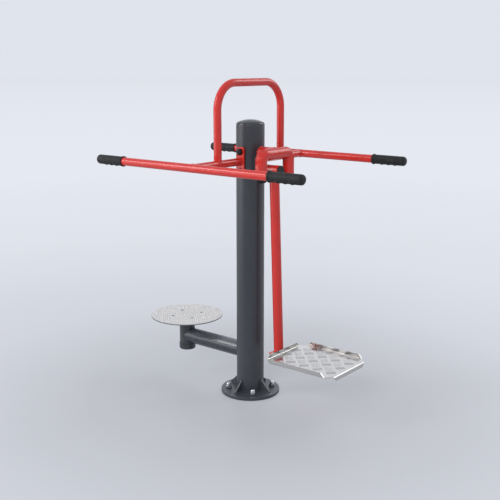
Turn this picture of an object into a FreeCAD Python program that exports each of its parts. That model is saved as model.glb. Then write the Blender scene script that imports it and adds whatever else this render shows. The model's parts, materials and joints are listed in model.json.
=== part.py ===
"""Outdoor twister and surfer: a post with handlebars, a turning disc and a swinging foot platform.

Millimetres. The origin is on the post's axis at the underside of the base flange. +Z is up, +X points
towards the swinging platform, and -X towards the turning disc. Left is +Y.
"""
import FreeCAD, Part
import math
import os
from FreeCAD import Vector

# Post and base
post_diameter = 139.7
post_wall = 5.0
post_above_bar = 168.0
cap_rim_height = 6.0
cap_dome_height = 26.0
cap_knuckle_radius = 15.0
cap_skirt_depth = 25.0
cap_wall = 4.0
flange_diameter = 300.0
flange_thickness = 16.0
flange_edge_chamfer = 2.0
drain_diameter = 60.0
anchor_count = 4
anchor_turn = 45.0
anchor_edge = 37.5
anchor_hole_diameter = 17.0
anchor_thread_diameter = 16.0
anchor_nut_across_flats = 24.0
anchor_nut_height = 13.0
anchor_crown_height = 28.0
anchor_crown_step = 0.5
anchor_crown_round = 9.0
anchor_crown_wall = 5.0
anchor_washer_diameter = 30.0
anchor_washer_thickness = 3.0
gusset_count = 4
gusset_thickness = 8.0
gusset_edge = 25.0
gusset_height = 58.0
gusset_nose = 6.0
gusset_crown = 4.0

# Handlebars and hoop
bar_height = 1200.0
bar_tube_diameter = 40.0
bar_tube_wall = 3.0
branch_step = 1.0
weld_gap = 0.05
bar_spacing = 852.0
bar_half_length = 624.0
grip_length = 180.0
grip_wall = 3.0
grip_end_thickness = 9.0
grip_end_round = 14.0
grip_collar_rise = 2.5
grip_collar_width = 7.0
finger_crests = 3
finger_pitch = 36.0
finger_first = 50.0
finger_rise = 2.5
finger_crest_radius = 14.0
finger_half_width = 9.0
hoop_width = 488.0
hoop_rise = 376.0
hoop_bend_radius = 125.0
plate_width = 45.0
plate_thickness = 8.0
plate_corner_radius = 12.0
plate_bolt_edge = 23.0
saddle_thinnest = 2.0
bracket_bolt_diameter = 12.0
bracket_hole_diameter = 13.0
bracket_head_across_flats = 18.0
bracket_head_height = 7.5
bracket_washer_diameter = 24.0
bracket_washer_thickness = 2.5
bolt_cap_wall = 4.0
bolt_cap_top = 2.5
bolt_cap_clearance = 0.5
bolt_cap_round = 8.0
bolt_cap_weld_room = 12.0

# Twister
twister_distance = 443.0
disc_diameter = 386.0
disc_thickness = 5.0
disc_top = 328.0
disc_screw_count = 4
disc_screw_edge = 24.0
disc_screw_turn = 62.0
hub_plate_diameter = 210.0
hub_plate_thickness = 8.0
hub_gap = 2.4
arm_wall = 4.0
arm_below_disc = 114.0
housing_wall = 5.25
housing_cap_wall = 3.4
housing_cap_floor = 6.8
housing_cap_gap = 2.75
housing_cap_height = 34.0
housing_cap_overlap = 20.0
housing_cap_radius = 8.0
spindle_diameter = 35.0
spindle_bearing_section = 18.5
spindle_bearing_shoulder = 3.0
spindle_bearing_width = 17.0
spindle_collar_step = 7.5
spindle_seat_depth = 3.0
spindle_spacer_wall = 3.5
spindle_thread_step = 5.5
spindle_nut_wall = 6.0
spindle_nut_height = 19.0
spindle_washer_step = 4.5
spindle_washer_thickness = 4.0
lower_bearing_rise = 7.0

# Surfer pivot and limiter
pivot_below_bar = 43.0
sleeve_wall = 2.65
sleeve_length = 83.0
sleeve_gap = 1.0
sleeve_cap_thickness = 4.6
sleeve_cap_round = 3.2
sleeve_cap_skirt = 2.0
boss_length = 30.0
boss_wall = 5.0
axle_diameter = 30.0
axle_shoulder_step = 3.0
axle_shoulder_width = 3.0
axle_bearing_section = 12.5
axle_bearing_shoulder = 2.5
axle_bearing_width = 13.0
axle_end_inset = 13.0
axle_bolt_diameter = 10.0
axle_bolt_across_flats = 17.0
axle_bolt_head_height = 6.4
axle_bolt_depth = 30.0
axle_washer_step = 5.0
axle_washer_thickness = 3.5
running_clearance = 0.05
yoke_tube_diameter = 57.0
yoke_tube_wall = 3.2
yoke_offset = 4.5
yoke_half_width = 108.0
yoke_rise = 85.0
yoke_drop = 28.0
yoke_bend_radius = 30.0
yoke_plug_lip = 18.0
yoke_plug_round = 16.0
yoke_plug_depth = 18.0
stop_gap = 1.5

# Surfer pole and platform
pole_diameter = 48.3
pole_wall = 3.2
pole_from_boss = 48.0
pole_lean = 35.0
pole_lip_gap = 3.5
tray_length = 391.5
tray_width = 336.0
tray_top = 253.6
tray_sheet = 4.0
tray_bend_radius = 6.0
tray_lip_height = 20.0
tray_skirt_height = 22.5
tray_corner_cut = 35.0
spine_margin = 14.85
spine_overhang = 6.0
spine_end_inset = 42.0
bearer_width = 40.0
bearer_thickness = 10.0
bearer_end_margin = 14.0
tray_screw_near_edge = 96.0
tray_screw_far_edge = 87.5
tray_screw_side_edge = 42.0
screw_diameter = 8.0
screw_head_diameter = 16.0
screw_nut_across_flats = 13.0
screw_nut_height = 6.5

# Post and base sizes that follow from the ones above
post_radius = post_diameter / 2
post_top = bar_height + post_above_bar
flange_top = flange_thickness
anchor_circle_diameter = flange_diameter - 2 * anchor_edge
anchor_crown_diameter = anchor_nut_across_flats - 2 * anchor_crown_step
anchor_thread_depth = anchor_crown_height - anchor_crown_wall
gusset_reach = flange_diameter / 2 - gusset_edge

# Handlebar and hoop sizes that follow: each branch tube is a step smaller than the bar that it meets
bar_radius = bar_tube_diameter / 2
bar_offset = bar_spacing / 2
branch_diameter = bar_tube_diameter - 2 * branch_step
branch_bore = branch_diameter - 2 * bar_tube_wall
grip_radius = bar_radius + grip_wall
grip_collar_radius = grip_radius + grip_collar_rise
hoop_top = bar_height + hoop_rise
plate_back = post_radius + saddle_thinnest
plate_face = plate_back + plate_thickness
bolt_cap_bore = bracket_washer_diameter + 2 * bolt_cap_clearance
bolt_cap_diameter = bolt_cap_bore + 2 * bolt_cap_wall
bracket_bolt_spacing = branch_diameter + bolt_cap_diameter + 2 * bolt_cap_weld_room
plate_height = bracket_bolt_spacing + 2 * plate_bolt_edge

# Twister sizes that follow: the arm and the housing are cut from one tube
spindle_bearing_diameter = spindle_diameter + 2 * spindle_bearing_section
spindle_collar_diameter = spindle_diameter + 2 * spindle_collar_step
spindle_spacer_diameter = spindle_diameter + 2 * spindle_spacer_wall
spindle_washer_diameter = spindle_diameter + 2 * spindle_washer_step
spindle_thread_diameter = spindle_diameter - 2 * spindle_thread_step
spindle_nut_across_flats = spindle_thread_diameter + 2 * spindle_nut_wall
housing_diameter = spindle_bearing_diameter + 2 * housing_wall
housing_middle_bore = spindle_bearing_diameter - 2 * spindle_bearing_shoulder
arm_diameter = housing_diameter
arm_height = disc_top - arm_below_disc
arm_bottom = arm_height - arm_diameter / 2
disc_screw_circle = hub_plate_diameter - 2 * disc_screw_edge
disc_bottom = disc_top - disc_thickness
hub_bottom = disc_bottom - hub_plate_thickness
housing_top = hub_bottom - hub_gap
housing_cap_top = arm_bottom - housing_cap_gap
housing_cap_bottom = housing_cap_top - housing_cap_height
housing_bottom = housing_cap_top - housing_cap_overlap
upper_bearing_top = housing_top - spindle_seat_depth
lower_bearing_bottom = arm_bottom + lower_bearing_rise

# Pivot and limiter sizes that follow
pivot_height = bar_height - pivot_below_bar
axle_bearing_diameter = axle_diameter + 2 * axle_bearing_section
axle_shoulder_diameter = axle_diameter + 2 * axle_shoulder_step
axle_washer_diameter = axle_diameter + 2 * axle_washer_step
sleeve_diameter = axle_bearing_diameter + 2 * sleeve_wall
sleeve_middle_bore = axle_bearing_diameter - 2 * axle_bearing_shoulder
boss_end = post_radius + boss_length
sleeve_start = boss_end + sleeve_gap
sleeve_end = sleeve_start + sleeve_length
pole_radius = pole_diameter / 2
pole_top_distance = boss_end + pole_from_boss
yoke_distance = pole_top_distance + yoke_offset
yoke_bore = yoke_tube_diameter - 2 * yoke_tube_wall
yoke_top = pivot_height + yoke_rise
yoke_foot = pivot_height - yoke_drop

# Platform sizes that follow
pole_foot_distance = pole_top_distance + pole_lean
tray_start = pole_foot_distance + pole_radius + pole_lip_gap
tray_end = tray_start + tray_length
tray_bottom = tray_top - tray_sheet
tray_half_width = tray_width / 2
frame_bottom = tray_bottom - bearer_thickness
spine_width = pole_diameter + 2 * spine_margin

X_AXIS = Vector(1, 0, 0)
Y_AXIS = Vector(0, 1, 0)
Z_AXIS = Vector(0, 0, 1)
SIDES = (("left", 1), ("right", -1))
ENDS = (("front", 1), ("rear", -1))


def rod(start, direction, length, diameter):
    """A solid cylinder from a point along a direction."""
    return Part.makeCylinder(diameter / 2, length, start, direction)


def pipe(start, direction, length, outer, inner):
    """A straight tube from a point along a direction."""
    return rod(start, direction, length, outer).cut(rod(start, direction, length, inner))


def box(low, high):
    """An upright block between two corners."""
    return Part.makeBox(high.x - low.x, high.y - low.y, high.z - low.z, low)


def domed_rod(start, direction, length, diameter, edge_radius):
    """A solid cylinder with its far edge rounded."""
    solid = rod(start, direction, length, diameter)
    far = start + direction * length
    rim = [edge for edge in solid.Edges if edge.Closed and (edge.CenterOfMass - far).Length < 0.1]
    return solid.makeFillet(edge_radius, rim)


def prism(points, direction):
    """A flat outline drawn through points and pulled along a vector."""
    return Part.Face(Part.makePolygon(points + points[:1])).extrude(direction)


def hexagon(start, direction, across_flats, height):
    """A six-sided bar such as a nut or a bolt head, with its base centred on a point."""
    corner = across_flats / math.sqrt(3)
    angles = [math.radians(60 * step) for step in range(6)]
    points = [Vector(corner * math.cos(angle), corner * math.sin(angle), 0) for angle in angles]
    flat = prism(points, Z_AXIS * height)
    flat.Placement = FreeCAD.Placement(start, FreeCAD.Rotation(Z_AXIS, direction))
    return flat


def turned(profile):
    """A solid turned about the Z axis from edges in the XZ plane."""
    return Part.Face(Part.Wire(profile)).revolve(Vector(0, 0, 0), Z_AXIS, 360)


def line(start, end):
    return Part.LineSegment(start, end).toShape()


def arc(start, middle, end):
    return Part.Arc(start, middle, end).toShape()


def on_circle(centre, radius, degrees):
    """A point of the XZ plane on a circle, measured from +X towards +Z."""
    angle = math.radians(degrees)
    return Vector(centre.x + radius * math.cos(angle), 0, centre.z + radius * math.sin(angle))


def dome(radius, base, height, knuckle):
    """A shallow domed solid on the Z axis: a round knuckle at its edge runs into a flatter crown."""
    reach = radius - knuckle
    crown = (reach ** 2 + height ** 2 - knuckle ** 2) / (2 * (height - knuckle))
    knuckle_centre = Vector(reach, 0, base)
    crown_centre = Vector(0, 0, base + height - crown)
    tilt = math.degrees(math.atan2(base - crown_centre.z, reach))
    edge = Vector(radius, 0, base)
    meeting = on_circle(crown_centre, crown, tilt)
    apex = Vector(0, 0, base + height)
    centre = Vector(0, 0, base)
    return turned([
        line(centre, edge),
        arc(edge, on_circle(knuckle_centre, knuckle, tilt / 2), meeting),
        arc(meeting, on_circle(crown_centre, crown, (tilt + 90) / 2), apex),
        line(apex, centre),
    ])


def disc(centre, direction, diameter):
    """A flat round face square to a direction."""
    return Part.Face(Part.Wire(Part.makeCircle(diameter / 2, centre, direction)))


def bent_rod(corners, bend_radius, diameter):
    """A round bar along straight runs with a round bend at each inner corner."""
    runs = []
    start = corners[0]
    heading = (corners[1] - corners[0]).normalize()
    for corner, after in zip(corners[1:], corners[2:]):
        leaving = (after - corner).normalize()
        turn = heading.getAngle(leaving)
        setback = bend_radius * math.tan(turn / 2)
        bend_start = corner - heading * setback
        inward = (leaving - heading * heading.dot(leaving)).normalize()
        axis_point = bend_start + inward * bend_radius
        runs.append(disc(start, heading, diameter).extrude(bend_start - start))
        section = disc(bend_start, heading, diameter)
        runs.append(section.revolve(axis_point, heading.cross(inward), math.degrees(turn)))
        start = corner + leaving * setback
        heading = leaving
    runs.append(disc(start, heading, diameter).extrude(corners[-1] - start))
    return runs[0].fuse(runs[1:]).removeSplitter()


def bent_tube(corners, bend_radius, outer, inner):
    """A bent round bar with its bore."""
    return bent_rod(corners, bend_radius, outer).cut(bent_rod(corners, bend_radius, inner))


def around(shape, count, start_angle=0.0):
    """Copies of a shape turned evenly about the Z axis."""
    copies = []
    for step in range(count):
        copy = shape.copy()
        copy.rotate(Vector(0, 0, 0), Z_AXIS, start_angle + 360 * step / count)
        copies.append(copy)
    return copies


def moved(shape, offset):
    copy = shape.copy()
    copy.translate(offset)
    return copy


def countersunk_screw(head_top, length):
    """A countersunk screw pointing down, with its head's top at a point."""
    head_depth = (screw_head_diameter - screw_diameter) / 2
    below = head_top - Z_AXIS * head_depth
    head = Part.makeCone(screw_diameter / 2, screw_head_diameter / 2, head_depth, below)
    return head.fuse(rod(head_top - Z_AXIS * length, Z_AXIS, length, screw_diameter)).removeSplitter()


parts = {}


def keep(name, *solids):
    """Store one piece, or a group of separate identical pieces, under its name."""
    parts[name] = solids[0] if len(solids) == 1 else Part.makeCompound(list(solids))


def post_solid():
    """The space inside the post's outer surface, for tubes that end against it."""
    return rod(Vector(0, 0, 0), Z_AXIS, hoop_top, post_diameter)


def base():
    flange = rod(Vector(0, 0, 0), Z_AXIS, flange_thickness, flange_diameter)
    rim = [edge for edge in flange.Edges if abs(edge.BoundBox.ZMin - flange_top) < 0.1]
    flange = flange.makeChamfer(flange_edge_chamfer, rim)
    flange = flange.cut(rod(Vector(0, 0, 0), Z_AXIS, flange_thickness, drain_diameter))
    anchor = Vector(anchor_circle_diameter / 2, 0, 0)
    hole = rod(anchor, Z_AXIS, flange_thickness, anchor_hole_diameter)
    for copy in around(hole, anchor_count, anchor_turn):
        flange = flange.cut(copy)
    keep("base_flange", flange)

    on_flange = anchor + Z_AXIS * flange_top
    washer = pipe(on_flange, Z_AXIS, anchor_washer_thickness, anchor_washer_diameter, anchor_hole_diameter)
    on_washer = on_flange + Z_AXIS * anchor_washer_thickness
    nut = hexagon(on_washer, Z_AXIS, anchor_nut_across_flats, anchor_nut_height)
    crown = domed_rod(on_washer, Z_AXIS, anchor_crown_height, anchor_crown_diameter, anchor_crown_round)
    nut = nut.fuse(crown).cut(rod(on_washer, Z_AXIS, anchor_thread_depth, anchor_thread_diameter))
    keep("anchor_washers", *around(washer, anchor_count, anchor_turn))
    keep("anchor_nuts", *around(nut, anchor_count, anchor_turn))

    top = flange_top + gusset_height
    outline = [
        Vector(0, -gusset_thickness / 2, flange_top),
        Vector(gusset_reach, -gusset_thickness / 2, flange_top),
        Vector(gusset_reach, -gusset_thickness / 2, flange_top + gusset_nose),
        Vector(post_radius + gusset_crown, -gusset_thickness / 2, top),
        Vector(0, -gusset_thickness / 2, top),
    ]
    gusset = prism(outline, Y_AXIS * gusset_thickness).cut(post_solid())
    keep("base_gussets", *around(gusset, gusset_count))


def post():
    post_bore = post_diameter - 2 * post_wall
    tube = pipe(Vector(0, 0, flange_top), Z_AXIS, post_top - flange_top, post_diameter, post_bore)
    for height in bracket_bolt_heights():
        across = rod(Vector(0, -post_diameter, height), Y_AXIS, 2 * post_diameter, bracket_hole_diameter)
        tube = tube.cut(across)
    keep("post_tube", tube)

    skirt_outer = post_radius - post_wall
    skirt_inner = skirt_outer - cap_wall
    shoulder = post_top + cap_rim_height
    shell = dome(post_radius, shoulder, cap_dome_height, cap_knuckle_radius)
    shell = shell.fuse(rod(Vector(0, 0, post_top), Z_AXIS, cap_rim_height, post_diameter)).removeSplitter()
    hollow = dome(skirt_inner, shoulder, cap_dome_height - cap_wall, cap_knuckle_radius - cap_wall)
    hollow = hollow.fuse(rod(Vector(0, 0, post_top), Z_AXIS, cap_rim_height, 2 * skirt_inner))
    hollow = hollow.removeSplitter()
    foot = Vector(0, 0, post_top - cap_skirt_depth)
    skirt = pipe(foot, Z_AXIS, cap_skirt_depth, 2 * skirt_outer, 2 * skirt_inner)
    keep("post_cap", shell.cut(hollow).fuse(skirt).removeSplitter())


def bracket_bolt_heights():
    return [bar_height + sign * bracket_bolt_spacing / 2 for sign in (-1, 1)]


def rounded_plate(y_low, y_high):
    """An upright bracket plate with rounded corners, between two distances along Y."""
    low = Vector(-plate_width / 2, y_low, bar_height - plate_height / 2)
    high = Vector(plate_width / 2, y_high, bar_height + plate_height / 2)
    block = box(low, high)
    corners = [edge for edge in block.Edges if edge.BoundBox.XLength < 0.1 and edge.BoundBox.ZLength < 0.1]
    return block.makeFillet(plate_corner_radius, corners)


def brackets():
    """Two plates clamped across the post by through bolts, each on a saddle shaped to the post."""
    holes = [rod(Vector(0, 0, height), Y_AXIS, 2 * post_diameter, bracket_hole_diameter)
             for height in bracket_bolt_heights()]
    saddle = rounded_plate(0, plate_back).cut(post_solid())
    plate = rounded_plate(plate_back, plate_face)
    for hole in holes:
        saddle = saddle.cut(hole)
        plate = plate.cut(hole)
    for side, sign in SIDES:
        turn = FreeCAD.Rotation(Z_AXIS, 0 if sign > 0 else 180)
        for name, shape in (("bracket_saddle", saddle), ("bracket_plate", plate)):
            copy = shape.copy()
            copy.Placement = FreeCAD.Placement(Vector(0, 0, 0), turn)
            keep(name + "_" + side, copy)

    bolts, nuts, washers, caps = [], [], [], []
    stack = plate_face + bracket_washer_thickness
    room_height = bracket_washer_thickness + bracket_head_height + bolt_cap_top
    for height in bracket_bolt_heights():
        head = hexagon(Vector(0, -stack, height), -Y_AXIS, bracket_head_across_flats, bracket_head_height)
        shank_end = stack + bracket_head_height
        shank = rod(Vector(0, -stack, height), Y_AXIS, stack + shank_end, bracket_bolt_diameter)
        bolts.append(head.fuse(shank))
        nut = hexagon(Vector(0, stack, height), Y_AXIS, bracket_head_across_flats, bracket_head_height)
        nuts.append(nut.cut(shank))
        for sign in (-1, 1):
            seat = Vector(0, sign * plate_face, height)
            outward = Y_AXIS * sign
            washers.append(pipe(seat, outward, bracket_washer_thickness,
                                bracket_washer_diameter, bracket_hole_diameter))
            cover = domed_rod(seat, outward, room_height + bolt_cap_top, bolt_cap_diameter, bolt_cap_round)
            caps.append(cover.cut(rod(seat, outward, room_height, bolt_cap_bore)))
    keep("bracket_bolts", *bolts)
    keep("bracket_nuts", *nuts)
    keep("bracket_washers", *washers)
    keep("bolt_caps", *caps)


def bar_solid(sign):
    """The space that one handlebar and the gap for its weld fill."""
    start = Vector(-bar_half_length, sign * bar_offset, bar_height)
    return rod(start, X_AXIS, 2 * bar_half_length, bar_tube_diameter + 2 * weld_gap)


def grip():
    """One closed rubber grip along +Z, with its open end at the origin and its finger crests towards -X."""
    shoulder = grip_length - grip_end_round
    taper_end = grip_collar_width + grip_collar_rise
    outline = [
        Vector(0, 0, grip_length),
        Vector(0, 0, 0),
        Vector(grip_collar_radius, 0, 0),
        Vector(grip_collar_radius, 0, grip_collar_width),
        Vector(grip_radius, 0, taper_end),
        Vector(grip_radius, 0, shoulder),
    ]
    round_centre = Vector(grip_radius - grip_end_round, 0, shoulder)
    crown = on_circle(round_centre, grip_end_round, 90)
    profile = [line(a, b) for a, b in zip(outline, outline[1:])]
    profile.append(arc(outline[-1], on_circle(round_centre, grip_end_round, 45), crown))
    profile.append(line(crown, outline[0]))
    body = turned(profile)
    crests = [finger_crest(finger_first + step * finger_pitch) for step in range(finger_crests)]
    body = body.fuse(crests).removeSplitter()
    return body.cut(rod(Vector(0, 0, 0), Z_AXIS, grip_length - grip_end_thickness, bar_tube_diameter))


def finger_crest(distance):
    """A round-edged disc set off the grip's axis, so that only a crest between two fingers stands out."""
    drop = finger_crest_radius - math.sqrt(finger_crest_radius ** 2 - finger_half_width ** 2)
    low = Vector(grip_radius - drop, 0, distance - finger_half_width)
    high = Vector(grip_radius - drop, 0, distance + finger_half_width)
    bottom = Vector(0, 0, low.z)
    top = Vector(0, 0, high.z)
    rim = arc(low, Vector(grip_radius, 0, distance), high)
    return moved(turned([line(bottom, low), rim, line(high, top), line(top, bottom)]), -X_AXIS * finger_rise)


def handlebars():
    one_grip = grip()
    for side, sign in SIDES:
        run = bar_half_length - grip_end_thickness
        start = Vector(-run, sign * bar_offset, bar_height)
        bore = bar_tube_diameter - 2 * bar_tube_wall
        keep("handlebar_" + side, pipe(start, X_AXIS, 2 * run, bar_tube_diameter, bore))
        root = Vector(0, sign * plate_face, bar_height)
        cross = pipe(root, Y_AXIS * sign, bar_offset - plate_face, branch_diameter, branch_bore)
        keep("cross_tube_" + side, cross.cut(bar_solid(sign)))
        for end, direction in ENDS:
            mouth = Vector(direction * (bar_half_length - grip_length), sign * bar_offset, bar_height)
            copy = one_grip.copy()
            turn = FreeCAD.Rotation(Z_AXIS, Vector(0, 0, 0), X_AXIS * direction, "ZXY")
            copy.Placement = FreeCAD.Placement(mouth, turn)
            keep("grip_" + side + "_" + end, copy)


def hoop():
    """The hand hoop: one bent tube with its legs coped onto the cross tubes."""
    half = hoop_width / 2
    corners = [
        Vector(0, -half, bar_height),
        Vector(0, -half, hoop_top),
        Vector(0, half, hoop_top),
        Vector(0, half, bar_height),
    ]
    tube = bent_tube(corners, hoop_bend_radius, branch_diameter, branch_bore)
    under = rod(Vector(0, -bar_offset, bar_height), Y_AXIS, bar_spacing, branch_diameter + 2 * weld_gap)
    keep("top_hoop", tube.cut(under))


def twister_arm_and_housing():
    centre = Vector(-twister_distance, 0, 0)
    housing_space = rod(centre, Z_AXIS, disc_top, housing_diameter + 2 * weld_gap)
    arm_inner = arm_diameter - 2 * arm_wall
    arm = pipe(centre + Z_AXIS * arm_height, X_AXIS, twister_distance, arm_diameter, arm_inner)
    keep("twister_arm", arm.cut(post_solid()).cut(housing_space))

    length = housing_top - housing_bottom
    housing = pipe(centre + Z_AXIS * housing_bottom, Z_AXIS, length, housing_diameter, housing_middle_bore)
    upper_seat = upper_bearing_top - spindle_bearing_width
    lower_seat = lower_bearing_bottom + spindle_bearing_width
    housing = housing.cut(rod(centre + Z_AXIS * upper_seat, Z_AXIS, length, spindle_bearing_diameter))
    lower = rod(centre + Z_AXIS * (lower_seat - length), Z_AXIS, length, spindle_bearing_diameter)
    keep("twister_housing", housing.cut(lower))

    outer = housing_diameter + 2 * housing_cap_wall
    cap = rod(centre + Z_AXIS * housing_cap_bottom, Z_AXIS, housing_cap_height, outer)
    rim = [edge for edge in cap.Edges if abs(edge.BoundBox.ZMax - housing_cap_bottom) < 0.1]
    cap = cap.makeFillet(housing_cap_radius, rim)
    cap = cap.cut(rod(centre + Z_AXIS * housing_bottom, Z_AXIS, housing_cap_height, housing_diameter))
    floor = centre + Z_AXIS * (housing_cap_bottom + housing_cap_floor)
    keep("housing_bottom_cap", cap.cut(rod(floor, Z_AXIS, housing_cap_height, housing_middle_bore)))


def bearing_rings(start, direction, width, bore, outer):
    """A sealed bearing as an inner and an outer ring that run past each other."""
    race = (bore + outer) / 2
    inner_ring = pipe(start, direction, width, race, bore)
    outer_ring = pipe(start, direction, width, outer, race + 2 * running_clearance)
    return inner_ring, outer_ring


def twister_rotor():
    centre = Vector(-twister_distance, 0, 0)
    bearing_bottoms = (lower_bearing_bottom, upper_bearing_top - spindle_bearing_width)
    rings = [bearing_rings(centre + Z_AXIS * bottom, Z_AXIS, spindle_bearing_width,
                           spindle_diameter, spindle_bearing_diameter) for bottom in bearing_bottoms]
    keep("twister_bearing_inner_rings", *[pair[0] for pair in rings])
    keep("twister_bearing_outer_rings", *[pair[1] for pair in rings])

    spacer_start = lower_bearing_bottom + spindle_bearing_width
    spacer_length = bearing_bottoms[1] - spacer_start
    keep("twister_spacer", pipe(centre + Z_AXIS * spacer_start, Z_AXIS, spacer_length,
                                spindle_spacer_diameter, spindle_diameter))

    washer_bottom = lower_bearing_bottom - spindle_washer_thickness
    nut_bottom = washer_bottom - spindle_nut_height
    thread_length = lower_bearing_bottom - nut_bottom
    journal_length = disc_bottom - lower_bearing_bottom
    collar_length = hub_bottom - upper_bearing_top
    thread = rod(centre + Z_AXIS * nut_bottom, Z_AXIS, thread_length, spindle_thread_diameter)
    journal = rod(centre + Z_AXIS * lower_bearing_bottom, Z_AXIS, journal_length, spindle_diameter)
    collar = rod(centre + Z_AXIS * upper_bearing_top, Z_AXIS, collar_length, spindle_collar_diameter)
    keep("twister_spindle", journal.fuse(collar).fuse(thread).removeSplitter())
    keep("spindle_washer", pipe(centre + Z_AXIS * washer_bottom, Z_AXIS, spindle_washer_thickness,
                                spindle_washer_diameter, spindle_thread_diameter))
    nut = hexagon(centre + Z_AXIS * nut_bottom, Z_AXIS, spindle_nut_across_flats, spindle_nut_height)
    keep("spindle_nut", nut.cut(thread))

    screw_top = Vector(disc_screw_circle / 2, 0, disc_top)
    screw = countersunk_screw(screw_top, disc_thickness + hub_plate_thickness)
    screws = [moved(copy, centre) for copy in around(screw, disc_screw_count, disc_screw_turn)]
    disc = rod(centre + Z_AXIS * disc_bottom, Z_AXIS, disc_thickness, disc_diameter)
    on_hub = centre + Z_AXIS * hub_bottom
    hub = pipe(on_hub, Z_AXIS, hub_plate_thickness, hub_plate_diameter, spindle_diameter)
    for copy in screws:
        disc = disc.cut(copy)
        hub = hub.cut(copy)
    keep("twister_disc", disc)
    keep("twister_hub_plate", hub)
    keep("disc_screws", *screws)


def limiter():
    """The fixed yoke that stops the swinging pole, carried on a short stub tube."""
    corners = [
        Vector(yoke_distance, -yoke_half_width, yoke_foot),
        Vector(yoke_distance, -yoke_half_width, yoke_top),
        Vector(yoke_distance, yoke_half_width, yoke_top),
        Vector(yoke_distance, yoke_half_width, yoke_foot),
    ]
    keep("limiter_yoke", bent_tube(corners, yoke_bend_radius, yoke_tube_diameter, yoke_bore))
    stub = pipe(Vector(0, 0, yoke_top), X_AXIS, yoke_distance, yoke_tube_diameter, yoke_bore)
    run_start = Vector(yoke_distance, -yoke_half_width, yoke_top)
    top_run = rod(run_start, Y_AXIS, 2 * yoke_half_width, yoke_tube_diameter + 2 * weld_gap)
    keep("limiter_stub", stub.cut(post_solid()).cut(top_run))
    plugs = []
    for side, sign in SIDES:
        foot = Vector(yoke_distance, sign * yoke_half_width, yoke_foot)
        end = domed_rod(foot, -Z_AXIS, yoke_plug_lip, yoke_tube_diameter, yoke_plug_round)
        plugs.append(end.fuse(rod(foot, Z_AXIS, yoke_plug_depth, yoke_bore)))
    keep("yoke_plugs", *plugs)


def pivot():
    """The swing pivot: a fixed axle in a boss on the post, and a sleeve that turns on two bearings."""
    axis_at = lambda x: Vector(x, 0, pivot_height)
    boss_bore = sleeve_diameter - 2 * boss_wall
    keep("pivot_boss", pipe(axis_at(0), X_AXIS, boss_end, sleeve_diameter, boss_bore).cut(post_solid()))

    first_bearing = boss_end + axle_shoulder_width
    axle_end = sleeve_end - axle_end_inset
    second_bearing = axle_end - axle_bearing_width
    spacer_start = first_bearing + axle_bearing_width
    root_length = boss_end - post_radius
    axle = rod(axis_at(post_radius), X_AXIS, root_length, boss_bore)
    axle = axle.fuse(rod(axis_at(boss_end), X_AXIS, axle_shoulder_width, axle_shoulder_diameter))
    axle = axle.fuse(rod(axis_at(first_bearing), X_AXIS, axle_end - first_bearing, axle_diameter))
    bolt_hole = rod(axis_at(axle_end - axle_bolt_depth), X_AXIS, axle_bolt_depth, axle_bolt_diameter)
    keep("pivot_axle", axle.removeSplitter().cut(bolt_hole))
    keep("axle_spacer", pipe(axis_at(spacer_start), X_AXIS, second_bearing - spacer_start,
                             axle_shoulder_diameter, axle_diameter))
    keep("axle_washer", pipe(axis_at(axle_end), X_AXIS, axle_washer_thickness,
                             axle_washer_diameter, axle_bolt_diameter))
    head_start = axle_end + axle_washer_thickness
    head = hexagon(axis_at(head_start), X_AXIS, axle_bolt_across_flats, axle_bolt_head_height)
    shank_start = axle_end - axle_bolt_depth
    shank = rod(axis_at(shank_start), X_AXIS, head_start - shank_start, axle_bolt_diameter)
    keep("axle_bolt", head.fuse(shank))

    rings = [bearing_rings(axis_at(start), X_AXIS, axle_bearing_width,
                           axle_diameter, axle_bearing_diameter) for start in (first_bearing, second_bearing)]
    keep("pivot_bearing_inner_rings", *[pair[0] for pair in rings])
    keep("pivot_bearing_outer_rings", *[pair[1] for pair in rings])

    sleeve = pipe(axis_at(sleeve_start), X_AXIS, sleeve_length, sleeve_diameter, sleeve_middle_bore)
    for seat_start, seat_end in ((sleeve_start, spacer_start), (second_bearing, sleeve_end)):
        seat = rod(axis_at(seat_start), X_AXIS, seat_end - seat_start, axle_bearing_diameter)
        sleeve = sleeve.cut(seat)
    keep("pivot_sleeve", sleeve)
    cap = domed_rod(axis_at(sleeve_end), X_AXIS, sleeve_cap_thickness, sleeve_diameter, sleeve_cap_round)
    skirt = pipe(axis_at(sleeve_end - sleeve_cap_skirt), X_AXIS, sleeve_cap_skirt, axle_bearing_diameter,
                 sleeve_middle_bore)
    keep("sleeve_cap", cap.fuse(skirt))


def pole():
    """The hanging pole, which leans outwards from the sleeve to the frame under the platform."""
    top = Vector(pole_top_distance, 0, pivot_height)
    foot = Vector(pole_foot_distance, 0, tray_bottom)
    lean = (foot - top).normalize()
    length = (foot - top).Length + pole_diameter
    tube = pipe(top, lean, length, pole_diameter, pole_diameter - 2 * pole_wall)
    sleeve_space = rod(Vector(0, 0, pivot_height), X_AXIS, tray_end, sleeve_diameter)
    room = box(Vector(0, -pole_diameter, tray_bottom), Vector(tray_end, pole_diameter, pivot_height))
    keep("swing_pole", tube.common(room).cut(sleeve_space))


def screw_places():
    """Where the four screws stand on the platform's top."""
    places = []
    half_width = tray_half_width - tray_screw_side_edge
    for x in (tray_start + tray_screw_near_edge, tray_end - tray_screw_far_edge):
        places += [Vector(x, sign * half_width, tray_top) for sign in (-1, 1)]
    return places


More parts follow.
